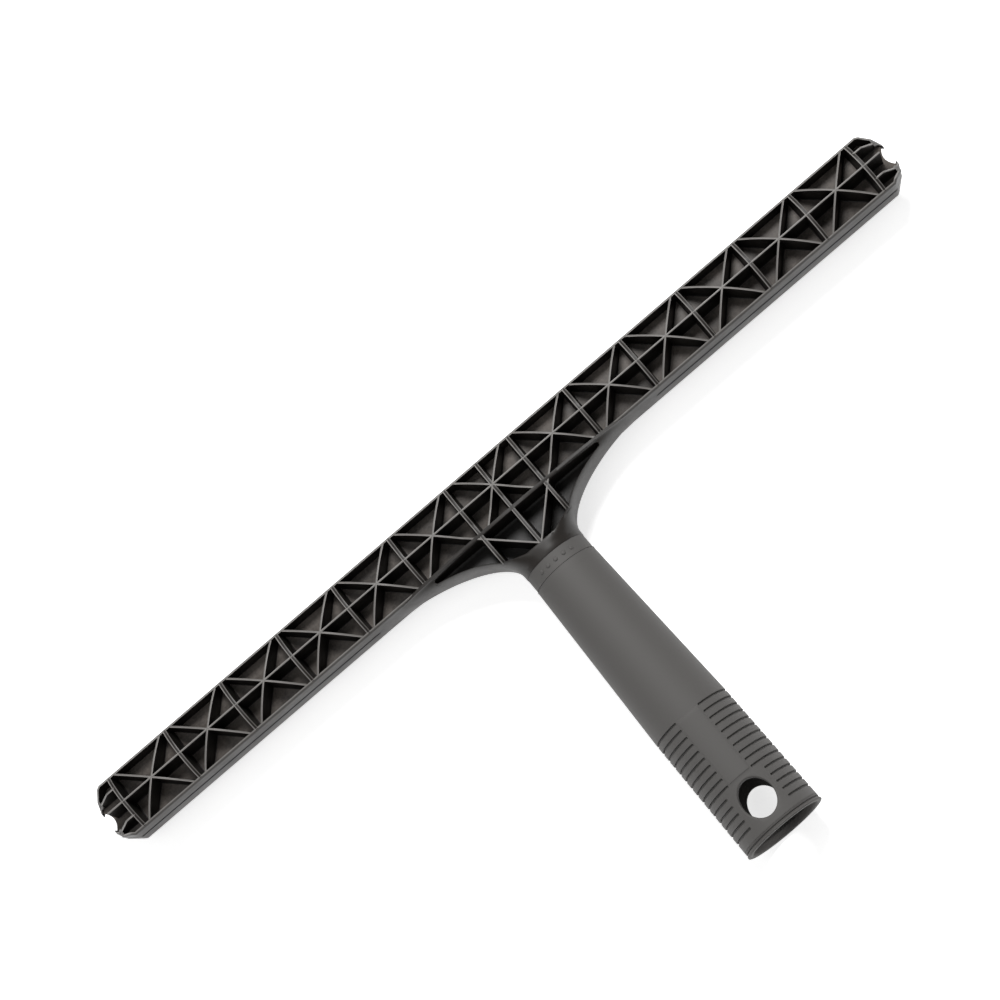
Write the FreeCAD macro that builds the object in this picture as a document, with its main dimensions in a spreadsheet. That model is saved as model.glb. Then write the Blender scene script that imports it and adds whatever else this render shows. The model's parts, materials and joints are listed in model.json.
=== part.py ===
import FreeCAD, Part
import math
import os
import Sketcher

from FreeCAD import Placement, Rotation, Vector

# Holder for a window-washing sleeve: a light ribbed cross bar on a hollow, tapered handle.
# Frame: the origin is the centre of the handle's mouth, +Y runs up the handle to the bar,
# X lies along the bar, +Z is the front face and z = 0 is the plane that the two faces mirror in.

# ---------------------------------------------------------------- driving dimensions (mm)
SIZES = {
    # cross bar
    "cell_pitch": 25.2,        # between cross ribs
    "centre_cell": 28.2,       # the wider cell over the handle
    "tooth_length": 10.6,       # from the last cross rib to the tip of the toothed end
    "bar_width": 22.0,         # across the bar, along Y
    "bar_depth": 23.2,         # front to back over the spine
    "flank_height": 14.6,      # front to back at the long edges
    "bar_wall": 1.0,           # long side walls
    "rib_thickness": 1.0,
    "web_thickness": 2.0,      # plate between the front and the back pockets
    "fin_offset": 5.8,         # outer end fins, from the spine
    "corner_setback": 6.3,     # where the end corners start, from the tip
    "tip_offset": 5.0,         # tooth tips, from the spine
    "notch_depth": 1.9,        # hollow between the two tooth tips
    "tooth_slope": 8.0,        # run of the sloped tooth faces, along the bar
    # neck
    "neck_length": 20.3,       # from the bar's flank to the shoulder
    "neck_flare": 50.0,        # how far the neck spreads on each side
    "neck_radius": 12.3,       # at the shoulder
    "neck_wall": 1.1,
    "saddle_sink": 1.8,        # how far the neck's top has sunk below the spine's crest
    "arch_thickness": 1.4,     # rib that carries the bar's flank across the neck
    "neck_floor": 5.3,         # solid part of the neck above the shoulder
    "spigot_length": 10.0,     # plug of the head inside the handle
    # handle
    "handle_reach": 151.6,     # mouth to the bar's centre line
    "handle_wall": 1.7,        # at the neck
    "band_length": 5.6,        # sunk band below the shoulder
    "band_depth": 0.15,
    "socket_radius": 13.4,     # straight stretch that takes the pole
    "mouth_wall": 2.1,         # round the socket at the mouth
    "grip_wall": 1.5,          # round the socket at the top of the grip
    "socket_depth": 51.0,
    "hole_width": 11.9,        # oval hole for the pole's spring button
    "hole_height": 14.0,
    "hole_margin": 0.7,       # from the collar's skirt to the hole's edge
    "grip_foot": 5.9,          # from the mouth to the last grip line
    "grip_pitch": 3.0,
    "grip_line_width": 0.6,
    "grip_line_depth": 0.6,
    "panel_width": 9.6,        # smooth strip down the middle of the grip
    "hole_land_width": 16.2,   # smooth land beside the hole
    # mouth collar
    "collar_length": 2.3,
    "collar_lip": 0.25,        # how far the lip stands out
    "collar_wall": 1.0,        # skirt inside the handle
    "skirt_length": 2.0,
    "ring_line": 0.5,          # width of the fine line round the collar
    "fit_gap": 0.05,           # radial clearance of the spigot and the skirt
}

CELLS_EACH_SIDE = 6            # beside the centre cell
GRIP_LINES = 15
LINES_BESIDE_HOLE = 5          # the grip lines nearest the mouth stop at the hole's land
NECK_SECTIONS = 7
QUARTER_STEPS = 8              # points round a quarter of one section
REACH_PAST = 1.0               # how far a cutting solid runs past what it cuts
RIB_LEAN = 45.0                # the diagonals' angle to the bar, in degrees

doc = FreeCAD.newDocument("washer_bar")
sheet = doc.addObject("Spreadsheet::Sheet", "Sizes")
for row, (alias, number) in enumerate(SIZES.items(), start=1):
    sheet.set("A%d" % row, alias)
    sheet.set("B%d" % row, str(number))
    sheet.setAlias("B%d" % row, alias)
doc.recompute()


class Size:
    """A length with its number and the sheet expression that it comes from."""

    def __init__(self, number, text):
        self.number = float(number)
        self.text = text

    def __add__(self, other):
        other = as_size(other)
        return Size(self.number + other.number, "(%s + %s)" % (self.text, other.text))

    def __sub__(self, other):
        other = as_size(other)
        return Size(self.number - other.number, "(%s - %s)" % (self.text, other.text))

    def __mul__(self, other):
        other = as_size(other)
        return Size(self.number * other.number, "(%s * %s)" % (self.text, other.text))

    def __truediv__(self, other):
        other = as_size(other)
        return Size(self.number / other.number, "(%s / %s)" % (self.text, other.text))

    def __neg__(self):
        return Size(-self.number, "(0 - %s)" % self.text)


def as_size(value):
    return value if isinstance(value, Size) else Size(value, repr(float(value)))


def size(alias):
    return Size(sheet.get(alias), "Sizes.%s" % alias)


# ---------------------------------------------------------------- shared helpers
def bind(obj, name, value):
    """Sets a property and ties it to the sheet."""
    obj.setExpression(name, as_size(value).text)


def place(obj, x, y, z, rotation=Rotation()):
    """Puts an object where the sheet says, turned by a fixed rotation."""
    spots = [as_size(spot) for spot in (x, y, z)]
    obj.Placement = Placement(Vector(*[spot.number for spot in spots]), rotation)
    for axis, spot in zip("xyz", spots):
        bind(obj, "Placement.Base." + axis, spot)


def box(name, length, width, height, x, y, z, rotation=Rotation()):
    """A box from its low corner."""
    solid = doc.addObject("Part::Box", name)
    bind(solid, "Length", length)
    bind(solid, "Width", width)
    bind(solid, "Height", height)
    place(solid, x, y, z, rotation)
    return solid


def fuse(name, solids):
    whole = doc.addObject("Part::MultiFuse", name)
    whole.Shapes = solids
    return whole


def cut(name, base, tool):
    rest = doc.addObject("Part::Cut", name)
    rest.Base = base
    rest.Tool = tool
    return rest


def mirrored(name, source, normal):
    copy = doc.addObject("Part::Mirroring", name)
    copy.Source = source
    copy.Normal = normal
    return copy


def origin_plane(body, role):
    return next(part for part in body.Origin.OriginFeatures if part.Role == role)


def sketch_on(body, role, name):
    sketch = body.newObject("Sketcher::SketchObject", name)
    sketch.AttachmentSupport = [(origin_plane(body, role), "")]
    sketch.MapMode = "FlatFace"
    return sketch


def outline(sketch, corners, bulges=None):
    """A closed outline through corners, each held from the origin by the sheet.

    bulges gives, for the side that starts at a corner, the middle point of an arc.
    """
    bulges = bulges or {}
    spots = [Vector(across.number, up.number, 0) for across, up in corners]
    sides = []
    for index, start in enumerate(spots):
        end = spots[(index + 1) % len(spots)]
        if index in bulges:
            middle = Vector(bulges[index][0].number, bulges[index][1].number, 0)
            arc = Part.Arc(start, middle, end)
            side = sketch.addGeometry(arc, False)
            flipped = (sketch.getPoint(side, 1) - start).Length > 1e-6
            sides.append((side, 2 if flipped else 1, 1 if flipped else 2))
        else:
            side = sketch.addGeometry(Part.LineSegment(start, end), False)
            sides.append((side, 1, 2))
    for index, (side, first, last) in enumerate(sides):
        following, next_first, _ = sides[(index + 1) % len(sides)]
        sketch.addConstraint(Sketcher.Constraint("Coincident", side, last, following, next_first))
        for kind, spot in (("DistanceX", corners[index][0]), ("DistanceY", corners[index][1])):
            hold(sketch, kind, side, first, spot)
        if index in bulges:
            radius = arc_radius(corners[index], bulges[index], corners[(index + 1) % len(corners)])
            number = sketch.addConstraint(Sketcher.Constraint("Radius", side, radius.number))
            sketch.setExpression("Constraints[%d]" % number, radius.text)


def hold(sketch, kind, side, point, spot):
    """Holds one coordinate of a point, measured from the origin in its positive sense."""
    if abs(spot.number) < 1e-9:
        axis = -2 if kind == "DistanceX" else -1
        sketch.addConstraint(Sketcher.Constraint("PointOnObject", side, point, axis))
        return
    if spot.number > 0:
        number = sketch.addConstraint(Sketcher.Constraint(kind, -1, 1, side, point, spot.number))
        sketch.setExpression("Constraints[%d]" % number, spot.text)
    else:
        number = sketch.addConstraint(Sketcher.Constraint(kind, side, point, -1, 1, -spot.number))
        sketch.setExpression("Constraints[%d]" % number, (-spot).text)


def arc_radius(start, middle, end):
    """Radius of a symmetric arc from its chord, which runs along one axis, and its rise."""
    run, rise = (0, 1) if abs(end[0].number - start[0].number) > 1e-9 else (1, 0)
    half = (end[run] - start[run]) / 2
    height = middle[rise] - start[rise]
    radius = (half * half + height * height) / (height * 2)
    return radius if radius.number > 0 else -radius


# ---------------------------------------------------------------- values used in several places
half_width = size("bar_width") / 2
half_depth = size("bar_depth") / 2
half_flank = size("flank_height") / 2
half_rib = size("rib_thickness") / 2
half_web = size("web_thickness") / 2
spine_y = size("handle_reach")
flank_y = spine_y - half_width
shoulder_y = flank_y - size("neck_length")
end_rib_x = size("centre_cell") / 2 + size("cell_pitch") * CELLS_EACH_SIDE
half_length = end_rib_x + size("tooth_length")
spigot_radius = size("neck_radius") - size("band_depth") - size("handle_wall")
rib_top = half_depth + size("neck_radius")
mouth_radius = size("socket_radius") + size("mouth_wall")
grip_radius = size("socket_radius") + size("grip_wall")
grip_top = size("grip_foot") + size("grip_pitch") * (GRIP_LINES - 1) + size("grip_line_width")
skirt_top = size("collar_length") + size("skirt_length")
hole_y = skirt_top + size("hole_margin") + size("hole_height") / 2


# ---------------------------------------------------------------- the head: outer form
def bar_blank():
    """The bar without its pockets: flat flanks, faces arched over the spine, toothed ends."""
    body = doc.addObject("PartDesign::Body", "bar_blank")
    section = sketch_on(body, "YZ_Plane", "bar_section")
    back, front = spine_y - half_width, spine_y + half_width
    outline(
        section,
        [(back, -half_flank), (front, -half_flank), (front, half_flank), (back, half_flank)],
        {0: (spine_y, -half_depth), 2: (spine_y, half_depth)},
    )
    pad = body.newObject("PartDesign::Pad", "bar_pad")
    pad.Profile = section
    pad.SideType = "Symmetric"
    bind(pad, "Length", half_length * 2)

    for side, name in ((1, "right"), (-1, "left")):
        trim = sketch_on(body, "XY_Plane", name + "_end_outline")
        corner = half_length - size("corner_setback")
        outside = half_length + REACH_PAST
        clear = half_width + REACH_PAST
        corners = [
            (corner, spine_y + clear),
            (corner, front),
            (half_length, spine_y + size("tip_offset")),
            (half_length, spine_y - size("tip_offset")),
            (corner, back),
            (corner, spine_y - clear),
            (outside, spine_y - clear),
            (outside, spine_y + clear),
        ]
        notch = (half_length - size("notch_depth"), spine_y)
        if side < 0:
            corners = [(-across, up) for across, up in corners]
            notch = (-notch[0], notch[1])
        outline(trim, corners, {2: notch})
        pocket = body.newObject("PartDesign::Pocket", name + "_end_cut")
        pocket.Profile = trim
        pocket.Type = "ThroughAll"
        pocket.SideType = "Symmetric"
        body.Tip = pocket
    return body


def closed_section(along, wide, high, boxiness):
    """A section across Y: an oval at boxiness 2, nearer a box with round corners above that."""
    headings = [Vector(0, 0, 1), Vector(-1, 0, 0), Vector(0, 0, -1), Vector(1, 0, 0)]
    edges = []
    for quarter in range(4):
        points = []
        for step in range(QUARTER_STEPS + 1):
            spin = math.pi / 2 * (quarter + step / QUARTER_STEPS)
            across, up = math.cos(spin), math.sin(spin)
            reach = (abs(across) ** boxiness + abs(up) ** boxiness) ** (-1 / boxiness)
            points.append(Vector(wide * across * reach, along, high * up * reach))
        curve = Part.BSplineCurve()
        curve.interpolate(Points=points, InitialTangent=headings[quarter],
                          FinalTangent=headings[(quarter + 1) % 4])
        edges.append(curve.toShape())
    return Part.Wire(edges)


def neck_section(turn):
    """The neck's section at a turn of its flare, from 0 at the shoulder to 90 at the bar."""
    angle = math.radians(turn)
    share = math.sin(angle)
    radius = size("neck_radius").number
    return closed_section(
        shoulder_y.number + size("neck_length").number * share,
        radius + size("neck_flare").number * (1 - math.cos(angle)),
        radius + (half_depth.number - radius) * share,
        2 + 2 * math.sin(math.pi * share),
    )


def neck_blend():
    """The neck: round at the shoulder, wide at the bar, then sinking into the bar's arched face."""
    wires = [neck_section(90.0 * step / (NECK_SECTIONS - 1)) for step in range(NECK_SECTIONS)]
    sunk = closed_section(
        spine_y.number,
        size("neck_radius").number + size("neck_flare").number / 2,
        half_depth.number - size("saddle_sink").number,
        2,
    )
    saddle = Part.makeLoft([wires[-1], sunk], True, True)
    blend = doc.addObject("Part::Feature", "neck_blend")
    blend.Shape = Part.makeLoft(wires, True, False).fuse(saddle)
    blend.Placement = Placement()
    return blend


# ---------------------------------------------------------------- the head: pockets
def diagonal(name, x, lean):
    """A rib at 45 degrees through a node of the spine, leaning to one side."""
    reach = (size("bar_width") + size("neck_length")) * 2
    middle = Vector(reach.number / 2, half_rib.number, 0)
    turn = Rotation(Vector(0, 0, 1), RIB_LEAN * lean)
    shift = turn.multVec(middle)
    rib = doc.addObject("Part::Box", name)
    bind(rib, "Length", reach)
    bind(rib, "Width", size("rib_thickness"))
    bind(rib, "Height", rib_top)
    rib.Placement = Placement(Vector(x.number, spine_y.number, 0) - shift, turn)
    cosine, sine = math.cos(math.radians(RIB_LEAN)), math.sin(math.radians(RIB_LEAN)) * lean
    bind(rib, "Placement.Base.x", x - reach / 2 * cosine + half_rib * sine)
    bind(rib, "Placement.Base.y", spine_y - reach / 2 * sine - half_rib * cosine)
    return rib


def cross_rib(name, x, low_y, high_y):
    return box(name, size("rib_thickness"), high_y - low_y, rib_top, x - half_rib, low_y, 0)


def bar_lattice():
    """The truss inside the bar: cross ribs, two diagonals a cell, the spine and the end fins."""
    low, high = spine_y - half_width, spine_y + half_width
    ribs = [box("spine", half_length * 2, size("rib_thickness"), rib_top,
                -half_length, spine_y - half_rib, 0)]
    ribs.append(cross_rib("axis_rib", as_size(0), low, high))
    for side, word in ((1, "right"), (-1, "left")):
        for count in range(CELLS_EACH_SIDE + 1):
            x = (size("centre_cell") / 2 + size("cell_pitch") * count) * side
            ribs.append(cross_rib("cross_rib_%s_%d" % (word, count), x, low, high))
        for level in (-1, 1):
            fin_y = spine_y + size("fin_offset") * level - half_rib
            fin_x = end_rib_x if side > 0 else -half_length
            ribs.append(box("fin_%s_%d" % (word, level + 1), size("tooth_length"),
                            size("rib_thickness"), rib_top, fin_x, fin_y, 0))
    nodes = [as_size(0)]
    for side in (1, -1):
        for count in range(CELLS_EACH_SIDE):
            nodes.append((size("centre_cell") / 2 + size("cell_pitch") * (count + 0.5)) * side)
    for number, x in enumerate(nodes):
        for lean in (1, -1):
            ribs.append(diagonal("diagonal_%d_%d" % (number, lean + 1), x, lean))
    return fuse("bar_lattice", ribs)


def bar_pockets():
    inner = half_width - size("bar_wall")
    space = box("bar_space", (half_length + REACH_PAST) * 2, inner * 2, half_depth,
                -half_length - REACH_PAST, spine_y - inner, half_web)
    return cut("bar_pockets", space, bar_lattice())


def neck_side(name, side):
    """What lies outside the neck's flared wall on one side."""
    curve = doc.addObject("Part::Ellipse", name + "_curve")
    bind(curve, "MajorRadius", size("neck_flare") + size("neck_wall"))
    bind(curve, "MinorRadius", size("neck_length") + size("neck_wall"))
    place(curve, (size("neck_radius") + size("neck_flare")) * side, shoulder_y, 0)
    prism = doc.addObject("Part::Extrusion", name)
    prism.Base = curve
    prism.DirMode = "Custom"
    prism.Dir = Vector(0, 0, 1)
    prism.Solid = True
    bind(prism, "LengthFwd", rib_top)
    return prism


def neck_pockets():
    """Six pockets in the neck, parted by the bar's own rib lines carried down."""
    top = flank_y + size("bar_wall") - size("arch_thickness")
    floor = shoulder_y + size("neck_floor")
    spread = size("neck_radius") + size("neck_flare")
    space = box("neck_space", spread * 2, top - floor, half_depth, -spread, floor, half_web)
    first_node = size("centre_cell") / 2 + size("cell_pitch") / 2
    middle = size("centre_cell") / 2
    low, high = floor - REACH_PAST, top + REACH_PAST
    ribs = [
        cross_rib("neck_axis_rib", as_size(0), low, high),
        cross_rib("neck_rib_right", middle, low, high),
        cross_rib("neck_rib_left", -middle, low, high),
        diagonal("neck_diagonal_right", first_node, 1),
        diagonal("neck_diagonal_left", -first_node, -1),
    ]
    solids = [neck_side("neck_side_right", 1), neck_side("neck_side_left", -1)]
    block = size("neck_radius")
    for side, word in ((1, "right"), (-1, "left")):
        start_x = (middle - size("neck_floor")) * side
        solids.append(box("neck_corner_" + word, block, block, rib_top, start_x,
                          floor - size("neck_floor"), 0, Rotation(Vector(0, 0, 1), RIB_LEAN * side)))
    return cut("neck_pockets", space, fuse("neck_kept", ribs + solids))


def tooth_faces():
    """Sloped cuts that leave each corner tooth pointed at mid depth."""
    bodies = []
    corners = [
        (half_length, half_web),
        (half_length + REACH_PAST, half_web),
        (half_length + REACH_PAST, half_depth + REACH_PAST),
        (half_length - size("tooth_slope"), half_depth + REACH_PAST),
    ]
    for side, word in ((1, "right"), (-1, "left")):
        for level in (1, -1):
            body = doc.addObject("PartDesign::Body", "tooth_face_%s_%d" % (word, level + 1))
            profile = sketch_on(body, "XZ_Plane", body.Name + "_outline")
            outline(profile, [(across * side, up) for across, up in corners])
            pad = body.newObject("PartDesign::Pad", body.Name + "_pad")
            pad.Profile = profile
            pad.SideType = "Symmetric"
            bind(pad, "Length", half_width)
            place(body, 0, spine_y + (size("fin_offset") + half_width) / 2 * level, 0)
            bodies.append(body)
    return fuse("tooth_faces", bodies)


# ---------------------------------------------------------------- the handle
def handle_tube():
    """The tapered tube with its sunk band, pole socket, collar seat and oval hole."""
    body = doc.addObject("PartDesign::Body", "handle_tube")
    wall = sketch_on(body, "YZ_Plane", "tube_wall")
    collar_top = size("collar_length")
    seat = size("socket_radius") + size("collar_wall")
    band_foot = shoulder_y - size("band_length")
    band_radius = size("neck_radius") - size("band_depth")
    corners = [
        (collar_top, seat),
        (collar_top, mouth_radius),
        (grip_top, grip_radius),
        (band_foot, size("neck_radius")),
        (band_foot, band_radius),
        (shoulder_y, band_radius),
        (shoulder_y, spigot_radius),
        (shoulder_y - size("spigot_length"), spigot_radius),
        (size("socket_depth"), size("socket_radius")),
        (skirt_top, size("socket_radius")),
        (skirt_top, seat),
    ]
    outline(wall, corners)
    turned = body.newObject("PartDesign::Revolution", "tube_turned")
    turned.Profile = wall
    turned.ReferenceAxis = (wall, ["H_Axis"])
    turned.Angle = 360
    body.Tip = turned
    return body


def oval_hole():
    """Cutter for the oval hole, which runs through the front and the back of the grip."""
    curve = doc.addObject("Part::Ellipse", "hole_curve")
    bind(curve, "MajorRadius", size("hole_height") / 2)
    bind(curve, "MinorRadius", size("hole_width") / 2)
    place(curve, 0, hole_y, -mouth_radius * 2, Rotation(Vector(0, 0, 1), 90))
    prism = doc.addObject("Part::Extrusion", "hole_cutter")
    prism.Base = curve
    prism.DirMode = "Custom"
    prism.Dir = Vector(0, 0, 1)
    prism.Solid = True
    bind(prism, "LengthFwd", mouth_radius * 4)
    return prism


def grip_lines():
    """Fine lines round both sides of the grip, cut to one depth below its tapered skin."""
    core = doc.addObject("Part::Cone", "grip_core")
    bind(core, "Radius1", mouth_radius - size("grip_line_depth"))
    bind(core, "Radius2", grip_radius - size("grip_line_depth"))
    bind(core, "Height", grip_top - size("collar_length") + REACH_PAST)
    place(core, 0, size("collar_length"), 0, Rotation(Vector(1, 0, 0), -90))
    reach = mouth_radius + REACH_PAST
    slots = []
    for count in range(GRIP_LINES):
        beside_hole = count >= GRIP_LINES - LINES_BESIDE_HOLE
        smooth = size("hole_land_width") / 2 if beside_hole else size("panel_width") / 2
        low = grip_top - size("grip_pitch") * count - size("grip_line_width")
        for side, word in ((1, "right"), (-1, "left")):
            start = smooth if side > 0 else -reach
            slots.append(box("grip_line_%s_%d" % (word, count), reach - smooth,
                             size("grip_line_width"), reach * 2, start, low, -reach))
    return cut("grip_cutter", fuse("grip_slots", slots), core)


# ---------------------------------------------------------------- the mouth collar
def mouth_collar():
    """Ring that closes the mouth: a flared lip, one fine line and a skirt inside the handle."""
    body = doc.addObject("PartDesign::Body", "mouth_collar")
    body.Label = "mouth_collar"
    wall = sketch_on(body, "YZ_Plane", "collar_wall_outline")
    top = size("collar_length")
    bore = size("socket_radius")
    skirt = bore + size("collar_wall") - size("fit_gap")
    line_foot = (top - size("ring_line")) / 2
    line_top = line_foot + size("ring_line")
    line_radius = mouth_radius - size("ring_line")
    lip = mouth_radius + size("collar_lip")
    outline(wall, [
        (as_size(0), bore),
        (as_size(0), lip),
        (line_foot, lip - size("collar_lip") / 2),
        (line_foot, line_radius),
        (line_top, line_radius),
        (line_top, mouth_radius),
        (top, mouth_radius),
        (top, skirt),
        (skirt_top, skirt),
        (skirt_top, bore),
    ])
    turned = body.newObject("PartDesign::Revolution", "collar_turned")
    turned.Profile = wall
    turned.ReferenceAxis = (wall, ["H_Axis"])
    turned.Angle = 360
    body.Tip = turned
    return body


# ---------------------------------------------------------------- assembly and export
def t_bar_head():
    spigot = doc.addObject("Part::Cylinder", "spigot")
    bind(spigot, "Radius", spigot_radius - size("fit_gap"))
    bind(spigot, "Height", size("spigot_length") + size("neck_floor"))
    place(spigot, 0, shoulder_y - size("spigot_length"), 0, Rotation(Vector(1, 0, 0), -90))
    form = fuse("head_form", [bar_blank(), neck_blend(), spigot])
    front = fuse("front_pockets", [bar_pockets(), neck_pockets(), tooth_faces()])
    back = mirrored("back_pockets", front, Vector(0, 0, 1))
    head = cut("t_bar_head", form, fuse("all_pockets", [front, back]))
    head.Label = "t_bar_head"
    return head


def handle():
    grip = cut("handle", handle_tube(), fuse("handle_cutters", [oval_hole(), grip_lines()]))
    grip.Label = "handle"
    return grip


subparts = [t_bar_head(), handle(), mouth_collar()]
doc.recompute()

for item in doc.Objects:
    if "Invalid" in item.State or "Error" in item.State:
        raise RuntimeError("%s failed: %s" % (item.Name, item.State))

os.makedirs("parts", exist_ok=True)
for subpart in subparts:
    shape = subpart.Shape
    if shape.isNull() or not shape.isValid():
        raise RuntimeError("%s has no valid shape" % subpart.Label)
    shape.exportStep("parts/%s.step" % subpart.Label)
    print(subpart.Label, len(shape.Solids), "solid", round(shape.Volume), "mm3", shape.BoundBox)
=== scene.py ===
import json
import math

import bmesh
import bpy
from bpy.props import FloatProperty, FloatVectorProperty, IntProperty, PointerProperty
from mathutils import Matrix, Vector


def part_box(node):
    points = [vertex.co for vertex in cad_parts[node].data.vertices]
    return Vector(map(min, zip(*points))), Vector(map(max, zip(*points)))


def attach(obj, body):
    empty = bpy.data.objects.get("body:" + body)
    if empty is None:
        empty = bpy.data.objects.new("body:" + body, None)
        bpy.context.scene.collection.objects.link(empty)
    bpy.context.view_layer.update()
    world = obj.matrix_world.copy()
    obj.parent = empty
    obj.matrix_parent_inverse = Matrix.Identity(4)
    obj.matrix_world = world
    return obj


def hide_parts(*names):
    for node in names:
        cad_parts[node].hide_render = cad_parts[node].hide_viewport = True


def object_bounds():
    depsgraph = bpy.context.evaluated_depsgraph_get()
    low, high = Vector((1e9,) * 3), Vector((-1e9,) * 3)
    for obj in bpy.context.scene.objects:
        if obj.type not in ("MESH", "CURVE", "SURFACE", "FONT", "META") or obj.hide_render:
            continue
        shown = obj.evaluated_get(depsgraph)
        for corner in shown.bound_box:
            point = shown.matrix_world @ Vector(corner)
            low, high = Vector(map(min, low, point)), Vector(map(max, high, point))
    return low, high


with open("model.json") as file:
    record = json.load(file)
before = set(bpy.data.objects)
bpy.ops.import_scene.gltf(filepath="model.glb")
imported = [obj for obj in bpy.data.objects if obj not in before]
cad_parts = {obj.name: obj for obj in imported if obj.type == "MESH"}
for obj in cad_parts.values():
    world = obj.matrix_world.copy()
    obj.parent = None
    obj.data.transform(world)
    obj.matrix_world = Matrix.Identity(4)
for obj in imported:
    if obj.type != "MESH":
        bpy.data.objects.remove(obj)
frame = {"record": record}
cad_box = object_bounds()

bl_info = {
    "name": "Window washer sleeve holder",
    "version": (1, 0, 0),
    "blender": (4, 5, 0),
    "location": "View3D > Sidebar > Washer",
    "description": "Builds a ribbed T-bar that holds a window-washing sleeve, on a hollow handle",
    "category": "Object",
}

MM = 0.001
BODY = "root"


# ---------------------------------------------------------------- places read from the frame
def mount_place(name):
    """Where the record puts one of its mounts."""
    return next(m["pos_m"] for m in frame["record"]["mounts"] if m["name"] == name)


head_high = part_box("t_bar_head")[1]
handle_low, handle_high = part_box("handle")
collar_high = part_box("mouth_collar")[1]
SPINE_Y = mount_place("sleeve_bar")[1]
HALF_LENGTH = head_high[0]
HALF_WIDTH = head_high[1] - SPINE_Y
NECK_RADIUS = 12.3 * MM
SHOULDER_Y = handle_high[1]
MOUTH_RADIUS = handle_high[0]
LIP_RADIUS = collar_high[0]
HOLE_Y = mount_place("button_hole")[1]
FLOOR_Z = cad_box[0][2]


# ---------------------------------------------------------------- sizes and colours
def length(name, default, text):
    """A length in metres that the user can change."""
    return FloatProperty(name=name, description=text, default=default, min=0.0,
                         unit="LENGTH", precision=5)


class HeadSizes(bpy.types.PropertyGroup):
    """Sizes of the ribbed head."""

    cell_pitch: length("Cell pitch", 25.2 * MM, "Distance between the cross ribs")
    centre_cell: length("Centre cell", 28.2 * MM, "Width of the cell over the handle")
    cells_each_side: IntProperty(name="Cells each side", default=6, min=3,
                                 description="Truss cells beside the centre cell")
    depth: length("Bar depth", 23.2 * MM, "Front to back over the spine")
    flank_height: length("Flank height", 14.6 * MM, "Front to back at the long edges")
    wall: length("Side wall", 1.0 * MM, "Thickness of the long side walls")
    web: length("Web", 2.0 * MM, "Plate between the front and back pockets")
    rib_crest: length("Rib crest", 0.7 * MM, "Rib thickness at its crest")
    rib_root: length("Rib root", 1.4 * MM, "Rib thickness just above the web")
    fin_offset: length("Fin offset", 5.8 * MM, "Outer end fins, from the spine")
    corner_setback: length("Corner setback", 6.3 * MM, "Where the end corners start")
    bend_setback: length("Bend setback", 1.6 * MM, "Where a corner bends into its tooth")
    bend_offset: length("Bend offset", 7.8 * MM, "The same place, from the spine")
    tip_offset: length("Tip offset", 4.6 * MM, "Tooth tips, from the spine")
    notch: length("Notch", 2.4 * MM, "Hollow between the tooth tips")
    tooth_slope: length("Tooth slope", 8.0 * MM, "Run of the sloped tooth crests")
    neck_stem: length("Neck stem", 1.8 * MM, "Round part of the neck, before it spreads")
    neck_flare: length("Neck flare", 50.0 * MM, "How far the neck spreads on each side")
    neck_wall: length("Neck wall", 1.1 * MM, "Wall round the neck's pockets")
    neck_floor: length("Neck floor", 5.3 * MM, "Solid part of the neck above the shoulder")
    corner_cut: length("Corner cut", 5.1 * MM, "How much the neck pockets' low corners are cut")
    arch: length("Arch", 1.4 * MM, "Rib that carries the flank across the neck")
    saddle_sink: length("Saddle sink", 1.8 * MM, "How far the neck's top sinks at the spine")


class HandleSizes(bpy.types.PropertyGroup):
    """Sizes of the handle and of the ring at its mouth."""

    band_length: length("Band length", 5.6 * MM, "Sunk band below the shoulder")
    band_depth: length("Band depth", 0.15 * MM, "How far the band is sunk")
    grip_top: length("Grip top", 48.5 * MM, "First grip line, from the mouth")
    grip_radius: length("Grip radius", 14.9 * MM, "Handle radius at the first grip line")
    grip_pitch: length("Grip pitch", 3.0 * MM, "Distance between grip lines")
    grip_line: length("Grip line", 0.8 * MM, "Width and depth of a grip line")
    panel_rise: length("Panel rise", 0.2 * MM, "How far the smooth strip stands out")
    grip_lines: IntProperty(name="Grip lines", default=15, min=6,
                            description="Lines on each side of the grip")
    lines_beside_hole: IntProperty(name="Lines beside hole", default=5, min=1,
                                   description="Lines that stop at the land round the hole")
    panel: length("Panel", 9.6 * MM, "Smooth strip down the middle of the grip")
    hole_land: length("Hole land", 16.2 * MM, "Smooth land beside the hole")
    hole_width: length("Hole width", 11.9 * MM, "Oval hole across the handle")
    hole_height: length("Hole height", 14.0 * MM, "Oval hole along the handle")
    bore: length("Bore", 13.4 * MM, "Radius of the pole socket")
    socket_depth: length("Socket depth", 51.0 * MM, "Straight stretch of the socket")
    pips: IntProperty(name="Pips", default=5, min=1,
                      description="Raised pips in the sunk band, on each face")


class Finishes(bpy.types.PropertyGroup):
    """Colours of the plastic and the floor."""

    plastic: FloatVectorProperty(name="Plastic", subtype="COLOR", size=3,
                                 default=(0.0225, 0.0195, 0.0172),
                                 description="Warm black of the moulded plastic")
    # Paler crest colour: partly real wear on the rib crests, partly a painted highlight where the
    # crests catch the light.
    crest: FloatVectorProperty(name="Crest wear and highlight", subtype="COLOR", size=3,
                               default=(0.34, 0.325, 0.31),
                               description="Paler plastic along the rib crests")
    floor: FloatVectorProperty(name="Floor", subtype="COLOR", size=3,
                               default=(0.93, 0.93, 0.93),
                               description="Pale floor under the tool")


def head():
    return bpy.context.scene.washer_head


def grip():
    return bpy.context.scene.washer_handle


def finishes():
    return bpy.context.scene.washer_finishes


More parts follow.
